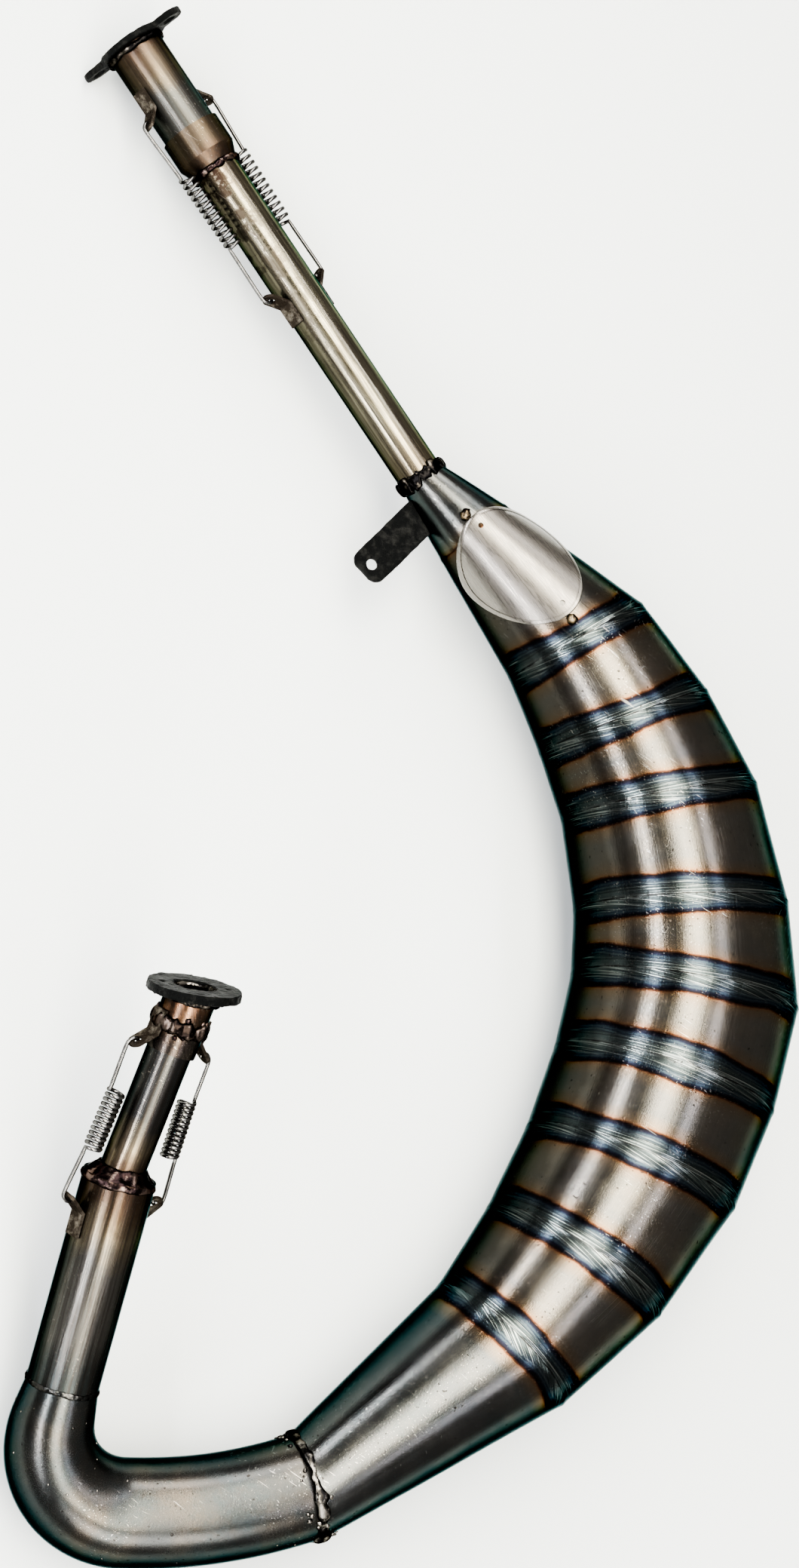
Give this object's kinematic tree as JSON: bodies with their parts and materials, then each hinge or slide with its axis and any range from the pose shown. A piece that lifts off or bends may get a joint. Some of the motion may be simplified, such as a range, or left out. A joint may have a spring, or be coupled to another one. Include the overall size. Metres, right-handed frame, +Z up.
{
  "type": "racing exhaust system",
  "caption": "Two-stroke racing exhaust: bent header, welded segmented expansion chamber and straight stinger, with spring-held slip joints and flanges at both ends.",
  "frame": {"origin": "centre of the inlet flange's face", "axes": "+Z up with the exhaust lying on its side, +Y towards the stinger end of the long direction, +X towards the belly"},
  "size_m": [0.3748, 0.7175, 0.1263],
  "materials": {
    "chamber_sheet": "bare satin sheet steel with heat tint at the seams",
    "tube_steel": "bare brushed steel tube",
    "stinger_steel": "bare steel, burnt near the cup",
    "scaled_steel": "black mill scale",
    "tinted_neck": "brown heat-tinted steel",
    "weld": "lumpy oxidised weld metal",
    "spring_wire": "bright spring wire",
    "badge": "satin plate, left blank"
  },
  "bodies": {
    "chamber": {"inlet_spring_left": "spring_wire", "inlet_spring_right": "spring_wire", "header_slip_tube": "tube_steel", "header_slip_weld": "weld", "header_tube": "tube_steel", "header_tab_left": "tube_steel", "header_tab_right": "tube_steel", "elbow_weld": "weld", "header_bend": "chamber_sheet", "diffuser_weld": "weld", "diffuser_cone": "chamber_sheet", "chamber_segment_1": "chamber_sheet", "chamber_segment_2": "chamber_sheet", "chamber_segment_3": "chamber_sheet", "chamber_segment_4": "chamber_sheet", "chamber_segment_5": "chamber_sheet", "chamber_segment_6": "chamber_sheet", "chamber_segment_7": "chamber_sheet", "chamber_segment_8": "chamber_sheet", "baffle_cone": "chamber_sheet", "tail_cone": "chamber_sheet", "stinger_weld": "weld", "stinger_tube": "stinger_steel", "stinger_tab_left": "tube_steel", "stinger_tab_right": "tube_steel", "stinger_cup": "stinger_steel", "cup_weld": "weld", "outlet_spring_left": "spring_wire", "outlet_spring_right": "spring_wire", "mounting_bracket": "scaled_steel", "badge_plate": "badge", "badge_tacks": "weld"},
    "inlet_neck": {"inlet_flange": "scaled_steel", "inlet_flange_weld": "weld", "inlet_stub": "tinted_neck", "inlet_neck_weld": "weld", "inlet_socket": "tube_steel", "inlet_tab_left": "tube_steel", "inlet_tab_right": "tube_steel"},
    "outlet_neck": {"outlet_sleeve": "stinger_steel", "outlet_tab_left": "tube_steel", "outlet_tab_right": "tube_steel", "outlet_flange_weld": "weld", "outlet_flange": "scaled_steel"}
  },
  "joints": [
    {"name": "inlet_slip", "type": "slide", "parent": "chamber", "child": "inlet_neck", "axis": [0.2411, 0.8974, 0.3695], "range_m": [0, 0.01], "stiffness_N_per_m": 5000, "springref_m": -0.008, "deforming": ["inlet_spring_left", "inlet_spring_right"]},
    {"name": "outlet_slip", "type": "slide", "parent": "chamber", "child": "outlet_neck", "axis": [-0.5764, 0.8141, -0.0706], "range_m": [0, 0.008], "stiffness_N_per_m": 5000, "springref_m": -0.008, "deforming": ["outlet_spring_left", "outlet_spring_right"]}
  ]
}
